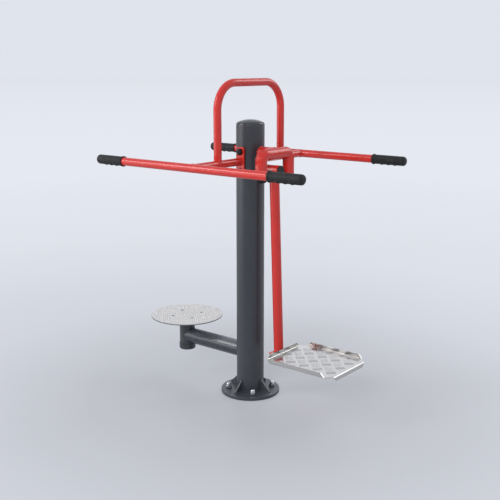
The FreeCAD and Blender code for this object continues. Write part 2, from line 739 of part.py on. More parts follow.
def tray_lip(length, reach, direction):
    """A folded edge: X along it, Y inwards from its outer face and Z from the sheet's middle.

    The fold goes up for direction 1 and down for -1.
    """
    half = tray_sheet / 2
    bend = tray_bend_radius
    inside = bend - tray_sheet
    slant = math.sqrt(0.5)
    point = lambda y, z: Vector(0, y, direction * z)
    tip = reach - half
    start = point(bend, -half)
    outer_mid = point(bend - bend * slant, bend - half - bend * slant)
    inner_mid = point(bend - inside * slant, bend - half - inside * slant)
    profile = [
        arc(start, outer_mid, point(0, bend - half)),
        line(point(0, bend - half), point(0, tip)),
        line(point(0, tip), point(tray_sheet, tip)),
        line(point(tray_sheet, tip), point(tray_sheet, bend - half)),
        arc(point(tray_sheet, bend - half), inner_mid, point(bend, half)),
        line(point(bend, half), start),
    ]
    lip = Part.Face(Part.Wire(profile)).extrude(X_AXIS * length)
    slope = tip - half
    ends = [
        Vector(0, -bend, -direction * bend),
        Vector(length, -bend, -direction * bend),
        Vector(length, -bend, direction * half),
        Vector(length - slope, -bend, direction * tip),
        Vector(slope, -bend, direction * tip),
        Vector(0, -bend, direction * half),
    ]
    return lip.common(prism(ends, Y_AXIS * 3 * bend))


def platform():
    """The folded sheet platform: lips up at the sides and at the post, and a skirt down at the outer edge."""
    bend = tray_bend_radius
    cut = tray_corner_cut - bend
    x_low = tray_start + bend
    x_high = tray_end - bend
    y_high = tray_half_width - bend
    outline = [
        Vector(x_low + cut, -y_high, tray_bottom),
        Vector(x_high - cut, -y_high, tray_bottom),
        Vector(x_high, cut - y_high, tray_bottom),
        Vector(x_high, y_high - cut, tray_bottom),
        Vector(x_high - cut, y_high, tray_bottom),
        Vector(x_low + cut, y_high, tray_bottom),
        Vector(x_low, y_high - cut, tray_bottom),
        Vector(x_low, cut - y_high, tray_bottom),
    ]
    sheet = prism(outline, Z_AXIS * tray_sheet)
    middle = tray_bottom + tray_sheet / 2
    side_length = tray_length - 2 * tray_corner_cut
    end_length = tray_width - 2 * tray_corner_cut
    lip_reach = tray_lip_height + tray_sheet
    near_x = tray_start + tray_corner_cut
    near_y = tray_half_width - tray_corner_cut
    edges = (
        (side_length, lip_reach, 1, Vector(near_x, -tray_half_width, middle), 0),
        (side_length, lip_reach, 1, Vector(tray_end - tray_corner_cut, tray_half_width, middle), 180),
        (end_length, lip_reach, 1, Vector(tray_start, near_y, middle), -90),
        (end_length, tray_skirt_height, -1, Vector(tray_end, -near_y, middle), 90),
    )
    for length, reach, direction, corner, angle in edges:
        lip = tray_lip(length, reach, direction)
        lip.Placement = FreeCAD.Placement(corner, FreeCAD.Rotation(Z_AXIS, angle))
        sheet = sheet.fuse(lip)

    bearers = []
    for place in screw_places():
        inner_y = math.copysign(spine_width / 2, place.y)
        outer_y = place.y + math.copysign(bearer_end_margin, place.y)
        low = Vector(place.x - bearer_width / 2, min(inner_y, outer_y), frame_bottom)
        high = Vector(place.x + bearer_width / 2, max(inner_y, outer_y), tray_bottom)
        bearers.append(box(low, high))
    screws, nuts = [], []
    through = tray_sheet + bearer_thickness
    for place in screw_places():
        screw = countersunk_screw(place, through + screw_nut_height)
        sheet = sheet.cut(screw)
        bearers = [bearer.cut(screw) for bearer in bearers]
        nut_start = Vector(place.x, place.y, frame_bottom - screw_nut_height)
        nuts.append(hexagon(nut_start, Z_AXIS, screw_nut_across_flats, screw_nut_height).cut(screw))
        screws.append(screw)
    keep("platform_tray", sheet.removeSplitter())
    keep("platform_bearers", *bearers)
    keep("tray_screws", *screws)
    keep("tray_nuts", *nuts)

    spine_start = pole_foot_distance - pole_radius - spine_overhang
    low = Vector(spine_start, -spine_width / 2, frame_bottom)
    keep("platform_spine", box(low, Vector(tray_end - spine_end_inset, spine_width / 2, tray_bottom)))


def swing_limit():
    """The angle where the pole comes within a small gap of the round ends of the yoke's legs."""
    across = yoke_half_width - yoke_tube_diameter / 2 + yoke_plug_round
    down = yoke_drop + yoke_plug_lip - yoke_plug_round
    reach = math.hypot(across, down)
    clear = pole_radius + stop_gap + yoke_plug_round
    return math.degrees(math.acos(clear / reach) - math.atan2(down, across))


makers = (base, post, brackets, handlebars, hoop, twister_arm_and_housing, twister_rotor,
          limiter, pivot, pole, platform)
for make in makers:
    make()

os.makedirs("parts", exist_ok=True)
for name, shape in parts.items():
    shape.exportStep("parts/" + name + ".step")
    solids = shape.Solids
    volume = round(sum(solid.Volume for solid in solids) / 1000, 2)
    print(name, len(solids), "solid(s)", volume, "cm3", shape.isValid())

print("swing limit", round(swing_limit(), 1), "degrees")
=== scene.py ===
import json
import math
import bmesh
import bpy
from mathutils import Matrix, Vector


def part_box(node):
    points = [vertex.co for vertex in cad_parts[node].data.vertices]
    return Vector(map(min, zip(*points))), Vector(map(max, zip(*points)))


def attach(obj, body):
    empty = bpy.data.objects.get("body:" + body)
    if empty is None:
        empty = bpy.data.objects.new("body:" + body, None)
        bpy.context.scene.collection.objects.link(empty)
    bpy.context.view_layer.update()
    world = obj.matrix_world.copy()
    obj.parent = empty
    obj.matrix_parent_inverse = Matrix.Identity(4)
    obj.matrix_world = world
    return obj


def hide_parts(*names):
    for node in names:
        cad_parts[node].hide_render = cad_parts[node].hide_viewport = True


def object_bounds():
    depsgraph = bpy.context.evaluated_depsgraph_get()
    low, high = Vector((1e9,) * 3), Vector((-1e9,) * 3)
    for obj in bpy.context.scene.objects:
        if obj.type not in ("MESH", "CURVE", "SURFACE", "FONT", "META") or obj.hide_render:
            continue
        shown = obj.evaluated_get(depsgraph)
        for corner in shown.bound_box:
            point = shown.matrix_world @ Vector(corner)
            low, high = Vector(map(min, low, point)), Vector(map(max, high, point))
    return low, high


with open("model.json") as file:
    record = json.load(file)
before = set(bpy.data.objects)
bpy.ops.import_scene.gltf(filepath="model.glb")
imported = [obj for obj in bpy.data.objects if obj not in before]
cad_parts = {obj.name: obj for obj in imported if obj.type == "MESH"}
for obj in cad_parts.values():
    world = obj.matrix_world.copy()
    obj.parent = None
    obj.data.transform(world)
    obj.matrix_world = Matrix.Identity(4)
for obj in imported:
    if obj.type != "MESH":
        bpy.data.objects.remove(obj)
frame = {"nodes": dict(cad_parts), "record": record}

scene = bpy.context.scene
scene.view_settings.view_transform = "Standard"
nodes = frame["nodes"]
cadLow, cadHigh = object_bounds()
print("frame:", len(nodes), "CAD nodes")


# small helpers for node trees, used by the finishes and by the geometry trees

def makeNode(tree, kind, inputs=None, **settings):
    node = tree.nodes.new(kind)
    for key, value in settings.items():
        setattr(node, key, value)
    for key, value in (inputs or {}).items():
        if isinstance(value, bpy.types.NodeSocket):
            tree.links.new(value, node.inputs[key])
        else:
            node.inputs[key].default_value = value
    return node


def maths(tree, kind, first, second):
    return makeNode(tree, "ShaderNodeMath", {0: first, 1: second}, operation=kind).outputs["Value"]


def vectorMaths(tree, kind, first, second=(0, 0, 0)):
    key = 3 if kind == "SCALE" else 1
    return makeNode(tree, "ShaderNodeVectorMath", {0: first, key: second}, operation=kind).outputs[0]


def lengthOf(tree, vector):
    return makeNode(tree, "ShaderNodeVectorMath", {0: vector}, operation="LENGTH").outputs["Value"]


def splitVector(tree, vector):
    return makeNode(tree, "ShaderNodeSeparateXYZ", {0: vector}).outputs


def joinVector(tree, x=0.0, y=0.0, z=0.0):
    return makeNode(tree, "ShaderNodeCombineXYZ", {0: x, 1: y, 2: z}).outputs[0]


def remap(tree, value, low, high, fromLow=0.3, fromHigh=0.7):
    inputs = {"Value": value, "From Min": fromLow, "From Max": fromHigh, "To Min": low, "To Max": high}
    return makeNode(tree, "ShaderNodeMapRange", inputs).outputs["Result"]


def rgba(colour):
    return (*colour, 1.0)


# helpers for finishes

def startFinish(name):
    material = bpy.data.materials.new(name)
    material.use_nodes = True
    tree = material.node_tree
    tree.nodes.clear()
    shader = makeNode(tree, "ShaderNodeBsdfPrincipled")
    makeNode(tree, "ShaderNodeOutputMaterial", {"Surface": shader.outputs["BSDF"]})
    coords = makeNode(tree, "ShaderNodeTexCoord").outputs["Object"]
    return material, tree, shader, coords


def mapped(tree, coords, scale=(1, 1, 1), shift=(0, 0, 0)):
    inputs = {"Vector": coords, "Scale": scale, "Location": shift}
    return makeNode(tree, "ShaderNodeMapping", inputs).outputs["Vector"]


def noise(tree, vector, scale, detail, rough=0.5):
    inputs = {"Vector": vector, "Scale": scale, "Detail": detail, "Roughness": rough}
    return makeNode(tree, "ShaderNodeTexNoise", inputs).outputs["Fac"]


def cells(tree, vector, scale, output="Distance"):
    return makeNode(tree, "ShaderNodeTexVoronoi", {"Vector": vector, "Scale": scale}).outputs[output]


def blendColours(tree, factor, first, second):
    inputs = {0: factor, 6: first, 7: second}
    return makeNode(tree, "ShaderNodeMix", inputs, data_type="RGBA").outputs[2]


def bump(tree, height, depth, strength, under=None):
    inputs = {"Height": height, "Distance": depth, "Strength": strength}
    if under:
        inputs["Normal"] = under
    return makeNode(tree, "ShaderNodeBump", inputs).outputs["Normal"]


def feed(tree, shader, colour, rough, normal):
    tree.links.new(colour, shader.inputs["Base Color"])
    tree.links.new(rough, shader.inputs["Roughness"])
    tree.links.new(normal, shader.inputs["Normal"])


# powder coat: fine orange peel, faint clouding, a paler tone low down, and a paler tone on upward faces that
# is partly dust and partly painted light from above

def powderCoat(name, look):
    material, tree, shader, coords = startFinish(name)
    place = mapped(tree, coords)
    cloud = remap(tree, noise(tree, place, look["cloudScale"], detail=4), 0, 1)
    colour = blendColours(tree, cloud, rgba(look["colour"]), rgba(look["shade"]))
    speck = remap(tree, cells(tree, place, look["speckScale"]), 1, 0, *look["speckEdge"])
    speck = maths(tree, "MULTIPLY", speck, look["speck"])
    colour = blendColours(tree, speck, colour, rgba(look["speckColour"]))
    # paler towards the bottom
    low = remap(tree, splitVector(tree, coords)["Z"], look["paleTone"], 0, 0.0, look["paleHeight"])
    # paler on upward faces: partly dust, partly painted light from above
    facing = makeNode(tree, "ShaderNodeTexCoord").outputs["Normal"]
    top = remap(tree, splitVector(tree, facing)["Z"], 0, look["topDustAndLight"], *look["topFacing"])
    patches = noise(tree, place, look["paleScale"], detail=5, rough=0.65)
    paleTone = maths(tree, "MULTIPLY", maths(tree, "ADD", low, top), patches)
    colour = blendColours(tree, paleTone, colour, rgba(look["paleColour"]))
    rough = remap(tree, noise(tree, place, look["roughScale"], detail=3), *look["rough"])
    peel = bump(tree, noise(tree, place, look["peelScale"], detail=1), look["peelDepth"], look["peel"])
    fine = noise(tree, place, look["grainScale"], detail=2)
    feed(tree, shader, colour, rough, bump(tree, fine, look["grainDepth"], look["grain"], peel))
    shader.inputs["Specular IOR Level"].default_value = look["specular"]
    return material


coatDetail = {
    "cloudScale": 7.0, "speckScale": 900.0, "speck": 0.04, "speckEdge": (0.02, 0.12), "paleScale": 26.0,
    "paleHeight": 0.35, "topDustAndLight": 0.0, "topFacing": (0.2, 1.0), "paleColour": (0.30, 0.325, 0.36),
    "roughScale": 40.0, "peelScale": 420.0, "peelDepth": 0.0006, "grainScale": 2200.0, "grainDepth": 0.0002,
}
darkCoat = dict(
    coatDetail, colour=(0.022, 0.0275, 0.034), shade=(0.0185, 0.023, 0.0295),
    speckColour=(0.065, 0.075, 0.085), speck=0.10, paleTone=0.13, paleHeight=0.6, topDustAndLight=0.06,
    rough=(0.34, 0.44), peel=0.06, grain=0.05, specular=0.65)
anthraciteCoat = powderCoat("anthraciteCoat", darkCoat)
# the arm is stepped over: rubbed smoother, and paler on top, partly dust and partly painted light from above
steppedAndLitCoat = powderCoat("steppedAndLitCoat", dict(
    darkCoat, speck=0.04, topDustAndLight=0.45, rough=(0.25, 0.29), peel=0.01, grain=0.005))
redCoat = powderCoat("redCoat", dict(
    coatDetail, colour=(0.60, 0.028, 0.020), shade=(0.55, 0.023, 0.017), speckColour=(0.68, 0.055, 0.05),
    paleTone=0.05, rough=(0.19, 0.24), peel=0.004, grain=0.004, specular=0.45))


# moulded plastics and rubber: clouding, scuffs, a leather grain and a finer one

def moulded(name, look):
    material, tree, shader, coords = startFinish(name)
    place = mapped(tree, coords)
    cloud = noise(tree, place, look["cloudScale"], detail=4)
    colour = blendColours(tree, remap(tree, cloud, 0, 1), rgba(look["colour"]), rgba(look["shade"]))
    rubbed = noise(tree, place, look["scuffScale"], detail=6, rough=0.7)
    scuff = maths(tree, "MULTIPLY", remap(tree, rubbed, 0, 1, *look["scuffEdge"]), look["scuff"])
    colour = blendColours(tree, scuff, colour, rgba(look["scuffColour"]))
    rough = remap(tree, cloud, *look["rough"])
    leather = bump(tree, cells(tree, place, look["grainScale"]), look["grainDepth"], look["grain"])
    fine = noise(tree, place, look["fineScale"], detail=2)
    feed(tree, shader, colour, rough, bump(tree, fine, look["fineDepth"], look["fine"], leather))
    shader.inputs["Specular IOR Level"].default_value = look["specular"]
    return material


mouldDetail = {
    "cloudScale": 30.0, "scuffScale": 60.0, "scuff": 0.25, "scuffEdge": (0.58, 0.75), "grainDepth": 0.0004,
    "fineScale": 2600.0, "fineDepth": 0.0002, "fine": 0.15,
}
anthracitePlastic = moulded("anthracitePlastic", dict(
    mouldDetail, colour=(0.046, 0.052, 0.058), shade=(0.040, 0.046, 0.052), scuffColour=(0.09, 0.095, 0.10),
    rough=(0.16, 0.24), grainScale=1100.0, grain=0.12, specular=0.4))
blackRubber = moulded("blackRubber", dict(
    mouldDetail, colour=(0.013, 0.0135, 0.014), shade=(0.010, 0.0105, 0.011),
    scuffColour=(0.045, 0.045, 0.047), rough=(0.50, 0.66), grainScale=520.0, grain=0.5, specular=0.32))
blackPlastic = moulded("blackPlastic", dict(
    mouldDetail, colour=(0.006, 0.0065, 0.0065), shade=(0.0045, 0.005, 0.005),
    scuffColour=(0.03, 0.03, 0.031), rough=(0.30, 0.42), grainScale=1300.0, grain=0.15, specular=0.3))


# bare metals: spangle, drawn lines, duller stains, and a darker rim where one is asked for, which is painted
# shade

def bareMetal(name, look):
    material, tree, shader, coords = startFinish(name)
    place = mapped(tree, coords)
    spangle = cells(tree, place, look["spangleScale"], output="Color")
    spangle = makeNode(tree, "ShaderNodeSeparateColor", {0: spangle}).outputs[0]
    spangle = maths(tree, "MULTIPLY", spangle, look["spangle"])
    colour = blendColours(tree, spangle, rgba(look["colour"]), rgba(look["shade"]))
    lines = noise(tree, mapped(tree, coords, look["lineStretch"]), look["lineScale"], detail=4, rough=0.6)
    stain = noise(tree, place, look["stainScale"], detail=5, rough=0.6)
    stain = remap(tree, stain, 0, look["stain"], *look["stainEdge"])
    colour = blendColours(tree, stain, colour, rgba(look["stainColour"]))
    # painted shade: the rim and the side of the plate are darker
    if "shadedRimWidth" in look:
        centre, radius = look["edgeCentre"], look["edgeRadius"]
        flat = mapped(tree, coords, (1, 1, 0), shift=(-centre.x, -centre.y, 0))
        cut = remap(tree, lengthOf(tree, flat), 0, 1, radius - look["shadedRimWidth"], radius)
        colour = blendColours(tree, cut, colour, rgba(look["shadedRimColour"]))
    dull = maths(tree, "MULTIPLY", stain, look["stainRough"])
    rough = maths(tree, "ADD", remap(tree, lines, *look["rough"]), dull)
    grooves = bump(tree, lines, look["lineDepth"], look["line"])
    fine = noise(tree, place, look["fineScale"], detail=2)
    feed(tree, shader, colour, rough, bump(tree, fine, look["fineDepth"], look["fine"], grooves))
    shader.inputs["Metallic"].default_value = look["metal"]
    return material


metalDetail = {
    "spangleScale": 260.0, "spangle": 0.5, "lineStretch": (1, 1, 1), "lineScale": 300.0, "lineDepth": 0.0003,
    "line": 0.12, "stainScale": 22.0, "stain": 0.25, "stainEdge": (0.52, 0.72), "stainRough": 0.25,
    "fineScale": 1800.0, "fineDepth": 0.0002, "fine": 0.08, "metal": 1.0,
}
zincSteel = bareMetal("zincSteel", dict(
    metalDetail, colour=(0.72, 0.73, 0.745), shade=(0.62, 0.63, 0.645), stainColour=(0.48, 0.487, 0.495),
    rough=(0.20, 0.30)))
turnedSteel = bareMetal("turnedSteel", dict(
    metalDetail, colour=(0.58, 0.58, 0.59), shade=(0.50, 0.50, 0.52), stainColour=(0.33, 0.31, 0.29),
    lineStretch=(6, 6, 1), rough=(0.20, 0.34)))
discLow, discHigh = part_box("twister_disc")
discCentre = Vector(((discLow.x + discHigh.x) / 2, 0, discHigh.z))
discRadius = (discHigh.x - discLow.x) / 2
# the disc's darker rim is painted shade on its side
discSteel = bareMetal("discSteel", dict(
    metalDetail, colour=(0.65, 0.643, 0.635), shade=(0.60, 0.593, 0.586), stainColour=(0.49, 0.478, 0.465),
    spangleScale=120.0, spangle=0.4, lineStretch=(12, 0.6, 1), lineScale=90.0, rough=(0.42, 0.56), metal=0.5,
    edgeCentre=discCentre, edgeRadius=discRadius, shadedRimWidth=0.0012, shadedRimColour=(0.15, 0.15, 0.152)))
treadAluminium = bareMetal("treadAluminium", dict(
    metalDetail, colour=(0.595, 0.581, 0.561), shade=(0.556, 0.543, 0.524), stainColour=(0.483, 0.471, 0.453),
    spangleScale=90.0, spangle=0.3, lineStretch=(0.5, 14, 14), lineScale=60.0, line=0.02, fine=0.03,
    stain=0.12, rough=(0.17, 0.23)))
# darker copy of the tread aluminium: painted shade on the bars that lie one way
shadedBarAluminium = bareMetal("shadedBarAluminium", dict(
    metalDetail, colour=(0.31, 0.303, 0.293), shade=(0.263, 0.257, 0.249), stainColour=(0.216, 0.211, 0.204),
    spangleScale=160.0, line=0.03, rough=(0.22, 0.32)))
# lighter copy of the tread aluminium: painted light on the bars that lie the other way
litBarAluminium = bareMetal("litBarAluminium", dict(
    metalDetail, colour=(0.84, 0.821, 0.792), shade=(0.80, 0.782, 0.755), stainColour=(0.70, 0.684, 0.66),
    spangleScale=160.0, spangle=0.3, line=0.02, fine=0.03, stain=0.12, rough=(0.17, 0.23)))
screwSteel = bareMetal("screwSteel", dict(
    metalDetail, colour=(0.06, 0.061, 0.063), shade=(0.045, 0.046, 0.048), stainColour=(0.03, 0.03, 0.031),
    rough=(0.36, 0.50), metal=0.3))

finishes = {
    "anthracite_coat": anthraciteCoat, "anthracite_plastic": anthracitePlastic, "red_coat": redCoat,
    "black_rubber": blackRubber, "black_plastic": blackPlastic, "zinc_steel": zincSteel,
    "turned_steel": turnedSteel, "disc_steel": discSteel, "tread_aluminium": treadAluminium,
}
for entry in frame["record"]["subparts"]:
    mesh = nodes[entry["node"]].data
    mesh.materials.clear()
    mesh.materials.append(finishes[entry["material_slot"]])
nodes["twister_arm"].data.materials[0] = steppedAndLitCoat
print("finishes:", len(finishes), "slots, and one for the arm")


# geometry trees: start one with named inputs, then bake it into a plain mesh

socketKinds = {float: "NodeSocketFloat", int: "NodeSocketInt", tuple: "NodeSocketVector"}
creaseAngle = 0.7  # radians; sharper edges are shaded flat


def startTree(name, inputs):
    tree = bpy.data.node_groups.new(name, "GeometryNodeTree")
    tree.interface.new_socket("Geometry", in_out="INPUT", socket_type="NodeSocketGeometry")
    for label, value in inputs.items():
        kind = socketKinds.get(type(value), "NodeSocketMaterial")
        socket = tree.interface.new_socket(label, in_out="INPUT", socket_type=kind)
        if kind != "NodeSocketMaterial":
            socket.default_value = value
    tree.interface.new_socket("Geometry", in_out="OUTPUT", socket_type="NodeSocketGeometry")
    given = tree.nodes.new("NodeGroupInput").outputs
    return tree, given


def isOver(tree, first, second):
    inputs = {0: first, 1: second}
    return makeNode(tree, "FunctionNodeCompare", inputs, operation="GREATER_THAN").outputs[0]


def endTree(tree, geometry, material):
    whole = makeNode(tree, "GeometryNodeRealizeInstances", {"Geometry": geometry}).outputs[0]
    smooth = makeNode(tree, "GeometryNodeSetShadeSmooth", {"Geometry": whole}).outputs[0]
    bend = makeNode(tree, "GeometryNodeInputMeshEdgeAngle").outputs["Unsigned Angle"]
    creases = {"Geometry": smooth, "Selection": isOver(tree, bend, creaseAngle), "Shade Smooth": False}
    crisp = makeNode(tree, "GeometryNodeSetShadeSmooth", creases, domain="EDGE").outputs[0]
    coated = makeNode(tree, "GeometryNodeSetMaterial", {"Geometry": crisp, "Material": material}).outputs[0]
    makeNode(tree, "NodeGroupOutput", {0: coated})


def bakeTree(tree, label, values, mesh=None):
    source = bpy.data.objects.new(label + "Source", mesh or bpy.data.meshes.new(label + "Source"))
    scene.collection.objects.link(source)
    modifier = source.modifiers.new("tree", "NODES")
    modifier.node_group = tree
    for item in tree.interface.items_tree:
        if item.in_out == "INPUT" and item.name in values:
            modifier[item.identifier] = values[item.name]
    graph = bpy.context.evaluated_depsgraph_get()
    baked = bpy.data.meshes.new_from_object(source.evaluated_get(graph))
    bpy.data.objects.remove(source)
    piece = bpy.data.objects.new(label, baked)
    scene.collection.objects.link(piece)
    print(label + ":", len(baked.polygons), "faces")
    return piece


def settle(piece, body, slot, *stoodFor):
    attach(piece, body)
    if stoodFor:
        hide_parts(*stoodFor)


def either(tree, first, second):
    return makeNode(tree, "FunctionNodeBooleanMath", {0: first, 1: second}, operation="OR").outputs[0]


def turnedAbout(tree, vector, angle):
    inputs = {"Vector": vector, "Angle": angle}
    return makeNode(tree, "ShaderNodeVectorRotate", inputs, rotation_type="Z_AXIS").outputs[0]


def lattice(tree, pitch, lines):
    size = maths(tree, "MULTIPLY", pitch, maths(tree, "SUBTRACT", lines, 1.0))
    inputs = {"Size X": size, "Size Y": size, "Vertices X": lines, "Vertices Y": lines}
    return makeNode(tree, "GeometryNodeMeshGrid", inputs).outputs["Mesh"]


def roundPad(tree, given, size):
    inputs = {"Segments": given["Segments"], "Rings": given["Rings"], "Radius": 1.0}
    ball = makeNode(tree, "GeometryNodeMeshUVSphere", inputs).outputs["Mesh"]
    return makeNode(tree, "GeometryNodeTransform", {"Geometry": ball, "Scale": size}).outputs[0]


def shifted(tree, geometry, offset):
    return makeNode(tree, "GeometryNodeSetPosition", {"Geometry": geometry, "Offset": offset}).outputs[0]


def withoutPoints(tree, points, unwanted):
    inputs = {"Geometry": points, "Selection": unwanted}
    return makeNode(tree, "GeometryNodeDeleteGeometry", inputs).outputs[0]


def repeatOn(tree, points, shape, turn=(0, 0, 0)):
    inputs = {"Points": points, "Instance": shape, "Rotation": turn}
    return makeNode(tree, "GeometryNodeInstanceOnPoints", inputs).outputs[0]


# five-bar tread on the platform: groups of bars on a lattice, cut to the flat of the tray;
# the tree is baked once for each turn of the bars

tread = {
    "Group Pitch": 0.0548, "Lattice Lines": 9, "Lattice Shift": (-0.0052, -0.013, 0.0), "Bars": 5,
    "Bar Pitch": 0.0092, "Bar Length": 0.041, "Bar Width": 0.0050, "Bar Height": 0.0019, "Segments": 10,
    "Rings": 5, "Edge Room": 0.016, "Corner Cut": 0.035, "Corner Room": 0.028, "Screw Room": 0.021,
}
trayScrewHead = 0.008  # radius of the CAD heads
trayLow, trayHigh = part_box("platform_tray")
screwLow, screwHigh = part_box("tray_screws")
trayTop = screwHigh.z
trayMiddle = (trayLow + trayHigh) / 2
trayHalf = (trayHigh - trayLow) / 2
screwMiddle = (screwLow + screwHigh) / 2
screwHalf = (screwHigh - screwLow) / 2
treadPlace = {
    "Centre": (trayMiddle.x, trayMiddle.y, trayTop), "Half Length": trayHalf.x, "Half Width": trayHalf.y,
    "Screw Centre": (screwMiddle.x, screwMiddle.y, trayTop),
    "Screw Spread": (screwHalf.x - trayScrewHead, screwHalf.y - trayScrewHead, 0.0),
}


def treadTree():
    inputs = {**tread, **treadPlace, "Turn": 0.0, "Lattice Share": 0.0, "Material": None}
    tree, given = startTree("treadBars", inputs)
    halfLength = maths(tree, "MULTIPLY", given["Bar Length"], 0.5)
    halfWidth = maths(tree, "MULTIPLY", given["Bar Width"], 0.5)
    bar = roundPad(tree, given, joinVector(tree, halfLength, halfWidth, given["Bar Height"]))
    # one group: a row of points square to the bars
    step = vectorMaths(tree, "SCALE", turnedAbout(tree, (0, 1, 0), given["Turn"]), given["Bar Pitch"])
    toFirst = maths(tree, "MULTIPLY", maths(tree, "SUBTRACT", given["Bars"], 1.0), -0.5)
    start = vectorMaths(tree, "SCALE", step, toFirst)
    row = {"Count": given["Bars"], "Start Location": start, "Offset": step}
    group = makeNode(tree, "GeometryNodeMeshLine", row).outputs[0]
    # groups of one turn stand on every other square
    span = maths(tree, "MULTIPLY", given["Group Pitch"], math.sqrt(2))
    between = maths(tree, "MULTIPLY", span, given["Lattice Share"])
    shift = vectorMaths(tree, "ADD", given["Lattice Shift"], joinVector(tree, between, between))
    spots = lattice(tree, span, given["Lattice Lines"])
    spots = shifted(tree, spots, vectorMaths(tree, "ADD", given["Centre"], shift))
    groups = repeatOn(tree, spots, group)
    points = makeNode(tree, "GeometryNodeRealizeInstances", {"Geometry": groups}).outputs[0]
    # no bars over the edges, the cut corners or the screws
    place = makeNode(tree, "GeometryNodeInputPosition").outputs[0]
    away = vectorMaths(tree, "ABSOLUTE", vectorMaths(tree, "SUBTRACT", place, given["Centre"]))
    awayX, awayY, _ = splitVector(tree, away)
    farX = isOver(tree, awayX, maths(tree, "SUBTRACT", given["Half Length"], given["Edge Room"]))
    farY = isOver(tree, awayY, maths(tree, "SUBTRACT", given["Half Width"], given["Edge Room"]))
    corner = maths(tree, "ADD", given["Half Length"], given["Half Width"])
    cut = maths(tree, "ADD", given["Corner Cut"], given["Corner Room"])
    farCorner = isOver(tree, maths(tree, "ADD", awayX, awayY), maths(tree, "SUBTRACT", corner, cut))
    fromScrews = vectorMaths(tree, "ABSOLUTE", vectorMaths(tree, "SUBTRACT", place, given["Screw Centre"]))
    toScrew = lengthOf(tree, vectorMaths(tree, "SUBTRACT", fromScrews, given["Screw Spread"]))
    onScrew = isOver(tree, given["Screw Room"], toScrew)
    unwanted = either(tree, either(tree, farX, farY), either(tree, farCorner, onScrew))
    kept = withoutPoints(tree, points, unwanted)
    bars = repeatOn(tree, kept, bar, joinVector(tree, z=given["Turn"]))
    endTree(tree, bars, given["Material"])
    return tree


# the bars that lie one way get a darker copy of the aluminium as painted shade, the others a lighter copy as
# painted light
treadSets = {
    "shadedBars": {"Turn": math.radians(-45), "Lattice Share": 0.0, "Material": shadedBarAluminium},
    "litBars": {"Turn": math.radians(45), "Lattice Share": 0.5, "Material": litBarAluminium},
}
treadBars = treadTree()
for label, treadSet in treadSets.items():
    bars = bakeTree(treadBars, label, {**tread, **treadPlace, **treadSet})
    settle(bars, "surfer", "tread_aluminium")


# fine round studs on the turning disc: two square lattices, one set between the other

discStud = {
    "Pitch": 0.0155, "Lattice Lines": 27, "Stud Radius": 0.0036, "Stud Height": 0.0022, "Segments": 8,
    "Rings": 4, "Edge Room": 0.0065, "Screw Room": 0.0125,
}
discScrew = {"turn": math.radians(62), "radius": 0.081, "length": 0.013}
studPlace = {
    "Centre": tuple(discCentre), "Radius": discRadius, "Screw Radius": discScrew["radius"],
    "Screw Turn": discScrew["turn"],
}


def studTree():
    tree, given = startTree("discStuds", {**discStud, **studPlace, "Material": None})
    stud = roundPad(tree, given, joinVector(
        tree, given["Stud Radius"], given["Stud Radius"], given["Stud Height"]))
    spots = lattice(tree, given["Pitch"], given["Lattice Lines"])
    both = tree.nodes.new("GeometryNodeJoinGeometry")
    for share in (0.0, 0.5):
        between = maths(tree, "MULTIPLY", given["Pitch"], share)
        tree.links.new(shifted(tree, spots, joinVector(tree, between, between)), both.inputs[0])
    place = makeNode(tree, "GeometryNodeInputPosition").outputs[0]
    rim = maths(tree, "SUBTRACT", given["Radius"], given["Edge Room"])
    outside = isOver(tree, lengthOf(tree, place), rim)
    # the four screws fold onto one: turn the point back, drop its signs, and put the larger part first
    back = turnedAbout(tree, place, maths(tree, "MULTIPLY", given["Screw Turn"], -1.0))
    foldX, foldY, _ = splitVector(tree, vectorMaths(tree, "ABSOLUTE", back))
    larger = maths(tree, "SUBTRACT", maths(tree, "MAXIMUM", foldX, foldY), given["Screw Radius"])
    folded = joinVector(tree, larger, maths(tree, "MINIMUM", foldX, foldY))
    onScrew = isOver(tree, given["Screw Room"], lengthOf(tree, folded))
    kept = withoutPoints(tree, both.outputs[0], either(tree, outside, onScrew))
    studs = repeatOn(tree, shifted(tree, kept, given["Centre"]), stud)
    endTree(tree, studs, given["Material"])
    return tree


discStuds = bakeTree(studTree(), "discStuds", {**discStud, **studPlace, "Material": discSteel})
settle(discStuds, "twister", "disc_steel")


# countersunk screws with a hexagon socket

screwSize = {
    "head": 0.016, "shank": 0.008, "socket": 0.0056, "socketDepth": 0.0034, "crown": 0.0003,
    "crownShare": 0.82, "rim": 0.0004, "sides": 24,
}


def socketScrew(label, length):
    sides = screwSize["sides"]
    head = screwSize["head"] / 2
    shank = screwSize["shank"] / 2
    rim = screwSize["rim"]

    def circle(radius, height):
        turns = [2 * math.pi * step / sides for step in range(sides)]
        return [(radius * math.cos(turn), radius * math.sin(turn), height) for turn in turns]

    def hexagon(height):
        points = []
        for x, y, z in circle(1.0, height):
            turn = math.atan2(y, x)
            toFlat = (turn + math.pi / 6) % (math.pi / 3) - math.pi / 6
            radius = screwSize["socket"] / 2 / math.cos(toFlat)
            points.append((x * radius, y * radius, z))
        return points

    rings = [
        hexagon(-screwSize["socketDepth"]), hexagon(0.0),
        circle(head * screwSize["crownShare"], screwSize["crown"]), circle(head, 0.0), circle(head, -rim),
        circle(shank, -rim - head + shank), circle(shank, -length),
    ]
    build = bmesh.new()
    loops = [[build.verts.new(point) for point in ring] for ring in rings]
    build.faces.new(loops[0])
    for first, second in zip(loops, loops[1:]):
        for step in range(sides):
            after = (step + 1) % sides
            build.faces.new((first[step], second[step], second[after], first[after]))
    build.faces.new(loops[-1])
    bmesh.ops.recalc_face_normals(build, faces=build.faces[:])
    mesh = bpy.data.meshes.new(label + "Shape")
    build.to_mesh(mesh)
    build.free()
    return mesh


